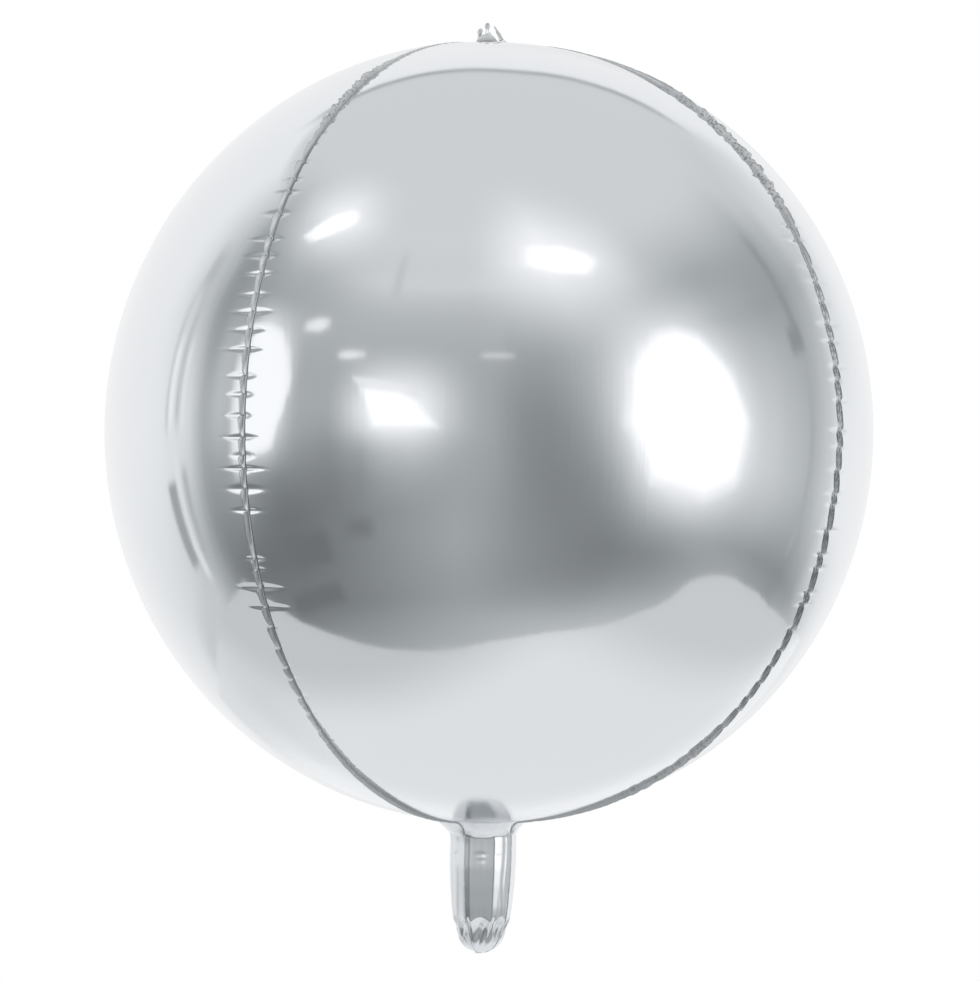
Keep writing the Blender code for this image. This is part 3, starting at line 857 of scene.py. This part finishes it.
def closed_round(name, profile, pleats, pleat_depth, twist, steps, place=lambda points: points):
    """A pleated knot: a profile of (radius, height) turned about the axis, its poles closed to a point.

    The radius at an angle is multiplied by 1 + depth x |cos(pleats x angle / 2 + twist x height)| - depth.
    """
    rows = np.array(profile)
    angle = np.arange(steps) / steps * 2 * math.pi
    radius, height = rows[1:-1].T[:, :, None]
    fold = np.abs(np.cos(pleats * angle / 2 + twist * (height - height[0])))
    reach = radius * (1 - pleat_depth * (1 - fold))
    ring = np.stack(np.broadcast_arrays(reach * np.cos(angle), reach * np.sin(angle), height), axis=-1)
    poles = [[0, 0, rows[0, 1]], [0, 0, rows[-1, 1]]]
    points = np.concatenate((ring.reshape(-1, 3), poles))
    around, count = np.arange(steps), len(points) - 2
    faces = quads(len(ring), steps, wrap=True) + fan(count, around) + fan(count + 1, count - 1 - around)
    knot = mesh_object(name, place(points), faces)
    off_axis = np.hypot(*points.T[:2])
    # A ring of painted shade round the knot, for the contact shadow under its skirt
    start, full, fading, gone = KNOT_SHADE_RING
    grey = smooth_share(off_axis, start, full) * (1 - smooth_share(off_axis, fading, gone))
    set_attribute(knot, "grey", KNOT_SHADE * grey)
    return knot


def crown_tab(fin, seam, foot, foot_height, tip, tip_height, foot_half, waist, head, fold, seed):
    """A folded tip of film: a strip that stands in its seam's plane and is bent along its middle.

    Its middle line goes from the foot's radius to the tip's as the share of its height to 0.9. Its half
    width passes smoothly from foot to waist to head and closes in a half circle. The fold is a tent across
    it, with a little seeded ripple.
    """
    dice = np.random.default_rng(seed)
    up = np.linspace(0, 1, TAB_GRID[0])[:, None]
    side = np.linspace(-1, 1, TAB_GRID[1])[None, :]
    half = foot_half + (waist - foot_half) * smooth_share(up, 0, TAB_WAIST)
    half = half + (head - waist) * smooth_share(up, *TAB_HEAD)
    rounding = np.clip((up - TAB_HEAD[1]) / (1 - TAB_HEAD[1]), 0, 1)
    half = half * np.sqrt(np.clip(1 - rounding ** 2, 0.03, 1))
    reach = foot + (tip - foot) * up ** 0.9 + half * side
    rise = up * (tip_height - foot_height)
    out = fold * (1 - np.abs(side)) * np.minimum(1, half / 0.001)
    for positions, (pitch, size) in zip((rise, reach), TAB_RIPPLES):
        out = out + wander(dice, positions, pitch) * size
    points = in_seam_plane(SEAMS[seam][0], reach, out, foot_height + rise + 0 * side)
    leaf = mesh_object(f"crown_leaf_{seam}", stand_aside(points)[::-1], quads(*reach.shape))
    return thicken(leaf, fin.thickness, 0)


def add_node(tree, kind, sockets=None, **settings):
    """Adds a shader node. Each socket takes a constant, an output, or a node and so its first output."""
    node = tree.nodes.new("ShaderNode" + kind)
    for key, value in settings.items():
        setattr(node, key, value)
    for key, value in (sockets or {}).items():
        if isinstance(value, bpy.types.Node):
            value = value.outputs[0]
        if isinstance(value, bpy.types.NodeSocket):
            tree.links.new(value, node.inputs[key])
        else:
            node.inputs[key].default_value = value
    return node


def empty_material(name):
    """A material with no nodes yet, and its tree."""
    material = bpy.data.materials.new(name)
    material.use_nodes = True
    material.node_tree.nodes.clear()
    return material, material.node_tree


def mirror_film_material(finish):
    """Aluminised polyester film, drawn tight: a mirror whose thin coating has faint rolling lines."""
    material, tree = empty_material("aluminised_film_drawn_tight")
    grain = add_node(tree, "UVMap", uv_map="grain")
    # The lines run along the gore, as the film left its roll
    stretched = add_node(tree, "Mapping", {"Vector": grain, "Scale": COATING_LINES})
    lines = add_node(tree, "TexNoise", {"Vector": stretched, "Scale": 1.0}, noise_dimensions="2D")
    swell = add_node(tree, "Bump", {"Height": lines, "Strength": 0.10, "Distance": SWELL_HEIGHT})
    place = add_node(tree, "TexCoord").outputs["Object"]
    cloud = add_node(tree, "TexNoise", {"Vector": place, "Scale": HAZE_CLOUDS, "Detail": 3.0})
    haze = add_node(tree, "MapRange", {
        "Value": cloud, "From Min": 0.35, "From Max": 0.65, "To Min": finish.film_roughness * 0.85,
        "To Max": finish.film_roughness * 1.15,
    })
    # It is puckered, so blurs more, next to the neck
    pucker = add_node(tree, "Attribute", attribute_name="pucker").outputs["Fac"]
    blur = add_node(tree, "Math", {0: pucker, 1: PUCKER_BLUR, 2: haze}, operation="MULTIPLY_ADD")
    shader = add_node(tree, "BsdfPrincipled", {
        "Base Color": (*finish.film, 1.0), "Metallic": 1.0, "Roughness": blur, "Normal": swell,
    })
    add_node(tree, "OutputMaterial", {"Surface": shader})
    return material


def sealed_film_material(finish):
    """Two layers of aluminised film, heat-sealed flat: duller, crinkled, with painted shade at its root and
    cut edge.
    """
    material, tree = empty_material("aluminised_film_heat_sealed")
    place = add_node(tree, "TexCoord").outputs["Object"]
    crinkle = add_node(tree, "TexNoise", {"Vector": place, "Scale": CRINKLES})
    buckle = add_node(tree, "Bump", {"Height": crinkle, "Strength": 0.12, "Distance": SWELL_HEIGHT})
    blotch = add_node(tree, "TexNoise", {"Vector": place, "Scale": BLOTCHES})
    dull = add_node(tree, "MapRange", {
        "Value": blotch, "From Min": 0.3, "From Max": 0.7, "To Min": finish.sealed_roughness * 0.7,
        "To Max": finish.sealed_roughness * 1.3,
    })
    # Where it is crinkled most it scatters the light
    crushed = add_node(tree, "Attribute", attribute_name="crinkled").outputs["Fac"]
    scattered = add_node(tree, "Math", {0: crushed, 1: CRUSHED_BLUR, 2: dull}, operation="MULTIPLY_ADD")
    # Where it is crinkled, and as far as its painted shade level is off 1, it shows the polyester's milky
    # white in place of the metal
    hazy = add_node(tree, "Attribute", attribute_name="hazy").outputs["Fac"]
    bright = add_node(tree, "MapRange", {"Value": hazy, "From Max": 0.6, "To Min": 1.0, "To Max": 0.05})
    # Painted shade by place, and painted grey specks of a millimetre or two among the crinkles, for their
    # dark glints
    grey = add_node(tree, "Attribute", attribute_name="grey").outputs["Fac"]
    specks = add_node(tree, "MapRange", {
        "Value": crinkle, "From Min": 0.52, "From Max": 0.62, "To Max": 0.6,
    })
    crushed_specks = add_node(tree, "Math", {0: crushed, 1: specks}, operation="MULTIPLY")
    shade_share = add_node(tree, "Math", {0: grey, 1: crushed_specks}, operation="MAXIMUM")
    colour = add_node(
        tree, "Mix", {0: shade_share, 6: (*finish.sealed, 1.0), 7: (*finish.painted_shade, 1.0)}, data_type="RGBA"
    )
    shader = add_node(tree, "BsdfPrincipled", {
        "Base Color": colour.outputs[2], "Metallic": bright, "Roughness": scattered, "Normal": buckle,
    })
    add_node(tree, "OutputMaterial", {"Surface": shader})
    return material


def floor_material(finish):
    """Matt white paint on the studio's floor, with painted glow by zones and a painted shadow at the front
    left.

    Each zone's light is a smooth step along its way over the floor, and the zones multiply. From below it
    lets the view through.
    """
    material, tree = empty_material("matt_white_floor")
    place = add_node(tree, "TexCoord").outputs["Object"]
    cloud = add_node(tree, "TexNoise", {"Vector": place, "Scale": 2.0, "Detail": 4.0})
    rough = add_node(tree, "MapRange", {"Value": cloud, "To Min": 0.55, "To Max": 0.7})
    light = 1.0
    for (across, away), start, end, before, after in FLOOR_ZONES:
        way = tuple(across * RIGHTWARD + away * AWAY)
        along = add_node(tree, "VectorMath", {0: place, 1: way}, operation="DOT_PRODUCT").outputs["Value"]
        step = add_node(
            tree, "MapRange",
            {"Value": along, "From Min": start, "From Max": end, "To Min": before, "To Max": after},
            interpolation_type="SMOOTHSTEP",
        )
        light = add_node(tree, "Math", {0: light, 1: step}, operation="MULTIPLY")
    paint = add_node(tree, "BsdfPrincipled", {
        "Base Color": (*finish.floor, 1.0), "Roughness": rough, "Emission Color": (1.0, 1.0, 1.0, 1.0),
        "Emission Strength": light,
    })
    facing = add_node(tree, "NewGeometry").outputs["Backfacing"]
    mixed = add_node(tree, "MixShader", {0: facing, 1: paint, 2: add_node(tree, "BsdfTransparent")})
    add_node(tree, "OutputMaterial", {"Surface": mixed})
    return material


def lamp_material(name, rim, middle, rim_share):
    """The white cloth of a studio lamp, lit from inside: a little dimmer along its rim."""
    material, tree = empty_material(f"lit_cloth_of_{name}")
    inside = add_node(tree, "Attribute", attribute_name="inside").outputs["Fac"]
    ramp = add_node(
        tree, "MapRange", {"Value": inside, "From Max": rim_share, "To Min": rim, "To Max": middle},
        interpolation_type="SMOOTHSTEP",
    )
    glow = add_node(tree, "Emission", {"Strength": ramp})
    add_node(tree, "OutputMaterial", {"Surface": glow})
    return material


def backdrop_edge(tree, direction, bearing, elevation, painted):
    """The straight top edge of the backdrop behind the balloon, with a thin dark hem.

    The edge is where the direction meets the plane through the balloon and that edge. The backdrop is
    below it, the ceiling stays above it, and both fade out to the sides.
    """
    rise = math.radians(BACKDROP_TOP)
    normal = tuple(AWAY * math.sin(rise) - UP * math.cos(rise))
    below = add_node(tree, "VectorMath", {0: direction, 1: normal}, operation="DOT_PRODUCT")
    below = below.outputs["Value"]
    turned = add_node(tree, "Math", {0: bearing}, operation="ABSOLUTE")
    off_edge = add_node(tree, "Math", {0: below}, operation="ABSOLUTE")
    blur = BACKDROP_EDGE_BLUR
    behind, high, side, line = (
        add_node(
            tree, "MapRange",
            {"Value": value, "From Min": start, "From Max": end, "To Min": before, "To Max": after},
            interpolation_type="SMOOTHSTEP",
        )
        for value, (start, end), (before, after) in (
            (turned, BACKDROP_SIDES, (0.0, 1.0)),
            (elevation, BACKDROP_FOOT, (0.0, 1.0)),
            (below, (-blur, blur), (CEILING_BRIGHTNESS, BACKDROP_BRIGHTNESS)),
            (off_edge, (math.radians(HEM_HALF_WIDTH), 0.0), (0.0, 1.0)),
        )
    )
    here = add_node(tree, "Math", {0: behind, 1: high}, operation="MULTIPLY")
    sheet = add_node(tree, "Mix", {0: here, 2: painted, 3: side}, data_type="FLOAT")
    weight = add_node(tree, "Math", {0: line, 1: here}, operation="MULTIPLY")
    return add_node(
        tree, "Mix", {0: weight, 2: sheet, 3: HEM_BRIGHTNESS}, data_type="FLOAT", label="backdrop's hem"
    )


def studio_world():
    """The room round the balloon, by direction: soft patches painted one over the other.

    A patch's weight is a smooth step of its bearing times one of its elevation, each by how far it is from
    the patch's middle, the short way round. The camera itself sees a plain white backdrop.
    """
    world = bpy.data.worlds.new("pale_studio")
    bpy.context.scene.world = world
    world.use_nodes = True
    tree = world.node_tree
    tree.nodes.clear()
    direction = add_node(tree, "TexCoord").outputs["Generated"]
    parts = add_node(tree, "SeparateXYZ", {0: direction}).outputs
    toward = add_node(tree, "Math", {0: parts["Y"], 1: -1.0}, operation="MULTIPLY")
    turn = add_node(tree, "Math", {0: parts["X"], 1: toward}, operation="ARCTAN2")
    bearing = add_node(
        tree, "Math", {0: turn, 1: math.degrees(1), 2: -CAMERA_BEARING}, operation="MULTIPLY_ADD"
    )
    rise = add_node(tree, "Math", {0: parts["Z"]}, operation="ARCSINE")
    elevation = add_node(tree, "Math", {0: rise, 1: math.degrees(1)}, operation="MULTIPLY")
    painted = OPEN_STUDIO
    for name, middle, half, soft, centre, tall, softer, brightness in STUDIO_PATCHES:
        weight = 1.0
        ways = ((bearing, middle, half, soft), (elevation, centre, tall, softer))
        for way, inside, reach, blur in ways:
            offset = add_node(tree, "Math", {0: way, 1: inside}, operation="SUBTRACT")
            distance = add_node(tree, "Math", {0: offset, 1: 180.0}, operation="PINGPONG")
            near = add_node(
                tree, "MapRange",
                {"Value": distance, "From Min": reach + blur / 2, "From Max": reach - blur / 2},
                interpolation_type="SMOOTHSTEP",
            )
            weight = add_node(tree, "Math", {0: weight, 1: near}, operation="MULTIPLY")
        sockets = {0: weight, 2: painted, 3: brightness}
        painted = add_node(tree, "Mix", sockets, data_type="FLOAT", label=name)
    painted = backdrop_edge(tree, direction, bearing, elevation, painted)
    tint = add_node(
        tree, "Mix", {0: painted, 6: (*SHADE_TINT, 1.0), 7: (1.0, 1.0, 1.0, 1.0)}, data_type="RGBA",
        label="its shade is bluish",
    )
    room = add_node(tree, "Background", {"Color": tint.outputs[2], "Strength": painted})
    backdrop = add_node(tree, "Background", {"Color": (1.0, 1.0, 1.0, 1.0)})
    seen = add_node(tree, "LightPath").outputs["Is Camera Ray"]
    shown = add_node(tree, "MixShader", {0: seen, 1: room, 2: backdrop})
    add_node(tree, "OutputWorld", {"Surface": shown})


def lamp_panels():
    """The studio's lamps: flat white faces in the room, unseen by the camera.

    Each is a fan of triangles from its middle, where the attribute inside is 1, to its rim, where it is 0.
    A corner lies at the panels' distance in its direction: sin and cos of its bearing across and towards
    the camera, times cos of its elevation, and sin of its elevation up.
    """
    for name, rim, middle, rim_share, corners in PANELS:
        name = name.replace(" ", "_")
        bearing, elevation = np.radians(corners).T[:, :, None]
        level = np.sin(bearing) * RIGHTWARD - np.cos(bearing) * AWAY
        points = PANEL_DISTANCE * (level * np.cos(elevation) + UP * np.sin(elevation))
        count = len(points)
        points = np.concatenate((points, [points.mean(axis=0)]))
        lamp = mesh_object(name, points, fan(count, np.arange(count)))
        set_attribute(lamp, "inside", np.append(np.zeros(count), 1.0))
        lamp.data.materials.append(lamp_material(name, rim, middle, rim_share))
        lamp.visible_camera = False


def pale_floor(finish):
    """The plain floor far below the balloon."""
    across, away = np.array(FLOOR_OUTLINE).T
    points = np.outer(across, RIGHTWARD) + np.outer(away, AWAY) + FLOOR_LEVEL * UP
    floor = mesh_object("pale_floor", points, [list(range(len(points)))])
    floor.data.materials.append(floor_material(finish))


def studio_camera():
    """The camera of the photograph: level, a little below the balloon's middle, and rolled slightly."""
    place = CAMERA_ASIDE * RIGHTWARD - CAMERA_DISTANCE * AWAY + CAMERA_LEVEL * UP
    roll = math.radians(ROLL)
    right = math.cos(roll) * RIGHTWARD + math.sin(roll) * UP
    upright = math.cos(roll) * UP - math.sin(roll) * RIGHTWARD
    data = bpy.data.cameras.new("camera")
    data.lens = LENS
    data.sensor_width = SENSOR
    data.clip_start = 0.01
    camera = bpy.data.objects.new("camera", data)
    turned = Matrix((right, upright, -AWAY)).transposed().to_4x4()
    camera.matrix_world = Matrix.Translation(place) @ turned
    bpy.context.scene.collection.objects.link(camera)
    bpy.context.scene.camera = camera


class BALLOON_OT_film(bpy.types.Operator):
    """Builds the four gores of film, each with its side of the neck"""

    bl_idname = "balloon.film"
    bl_label = "Film"

    def execute(self, context):
        form, fin = context.scene.balloon_film, context.scene.balloon_fins
        material = mirror_film_material(context.scene.balloon_finish)
        profile = film_profile(form)
        creases = {seam: seam_creases(form, profile, seam) for seam in SEAMS}
        for side, middle, left, right, *folds in SIDES:
            film = film_piece(form, fin, side, middle, profile, creases[left], creases[right], *folds)
            dress(film, material, MIRROR_SLOT, f"gore_{side}", f"neck_panel_{side}")
        return {"FINISHED"}


class BALLOON_OT_fins(bpy.types.Operator):
    """Builds the four heat-sealed seam fins, crown to neck end"""

    bl_idname = "balloon.fins"
    bl_label = "Seam fins"

    def execute(self, context):
        form, fin = context.scene.balloon_film, context.scene.balloon_fins
        material = sealed_film_material(context.scene.balloon_finish)
        profile = film_profile(form)
        for seam in SEAMS:
            ribbon = fin_piece(form, fin, seam, profile)
            dress(ribbon, material, SEALED_SLOT, f"seam_fin_{seam}", f"neck_fin_{seam}")
        return {"FINISHED"}


class BALLOON_OT_ends(bpy.types.Operator):
    """Builds the gathered crown with its tabs, and the neck's puckered end"""

    bl_idname = "balloon.ends"
    bl_label = "Gathered ends"

    def execute(self, context):
        material = sealed_film_material(context.scene.balloon_finish)
        crown = closed_round("crown_knot", CROWN_KNOT, *CROWN_PLEATS, stand_aside)
        dress(crown, material, SEALED_SLOT, "crown_gather")
        for number, (seam, *shape) in enumerate(CROWN_TABS):
            tab = crown_tab(context.scene.balloon_fins, seam, *shape, number)
            dress(tab, material, SEALED_SLOT, f"crown_tab_{seam}")
        base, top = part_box("neck_end_gather")
        ends = (base.z + NECK_PUCKER_UP, top.z + NECK_PUCKER_UP)
        pucker = [(top.x * share, ends[end] + above) for share, end, above in NECK_PUCKER]
        plug = closed_round("neck_end_pucker", pucker, *NECK_PUCKER_PLEATS)
        dress(plug, material, SEALED_SLOT, "neck_end_gather")
        return {"FINISHED"}


class BALLOON_OT_studio(bpy.types.Operator):
    """Builds the pale studio: the room that the film mirrors, its lamps, the floor and the camera"""

    bl_idname = "balloon.studio"
    bl_label = "Studio"

    def execute(self, context):
        studio_world()
        lamp_panels()
        pale_floor(context.scene.balloon_finish)
        studio_camera()
        context.scene.view_settings.view_transform = "Standard"
        return {"FINISHED"}


class BALLOON_PT_sidebar(bpy.types.Panel):
    """Lists the steps that build the balloon"""

    bl_idname = "BALLOON_PT_sidebar"
    bl_label = "Round foil balloon"
    bl_space_type = "VIEW_3D"
    bl_region_type = "UI"
    bl_category = "Balloon"

    def draw(self, context):
        for step in STEPS:
            self.layout.operator(step.bl_idname)


STEPS = (BALLOON_OT_film, BALLOON_OT_fins, BALLOON_OT_ends, BALLOON_OT_studio)
GROUPS = (("balloon_film", FilmForm), ("balloon_fins", FinForm), ("balloon_finish", FoilFinish))


def register():
    for name, group in GROUPS:
        bpy.utils.register_class(group)
        setattr(bpy.types.Scene, name, PointerProperty(type=group))
    for entry in (*STEPS, BALLOON_PT_sidebar):
        bpy.utils.register_class(entry)


def unregister():
    for entry in (BALLOON_PT_sidebar, *reversed(STEPS)):
        bpy.utils.unregister_class(entry)
    for name, group in reversed(GROUPS):
        delattr(bpy.types.Scene, name)
        bpy.utils.unregister_class(group)


def main():
    register()
    bpy.ops.balloon.film()
    bpy.ops.balloon.fins()
    bpy.ops.balloon.ends()
    bpy.ops.balloon.studio()


if __name__ == "__main__":
    main()
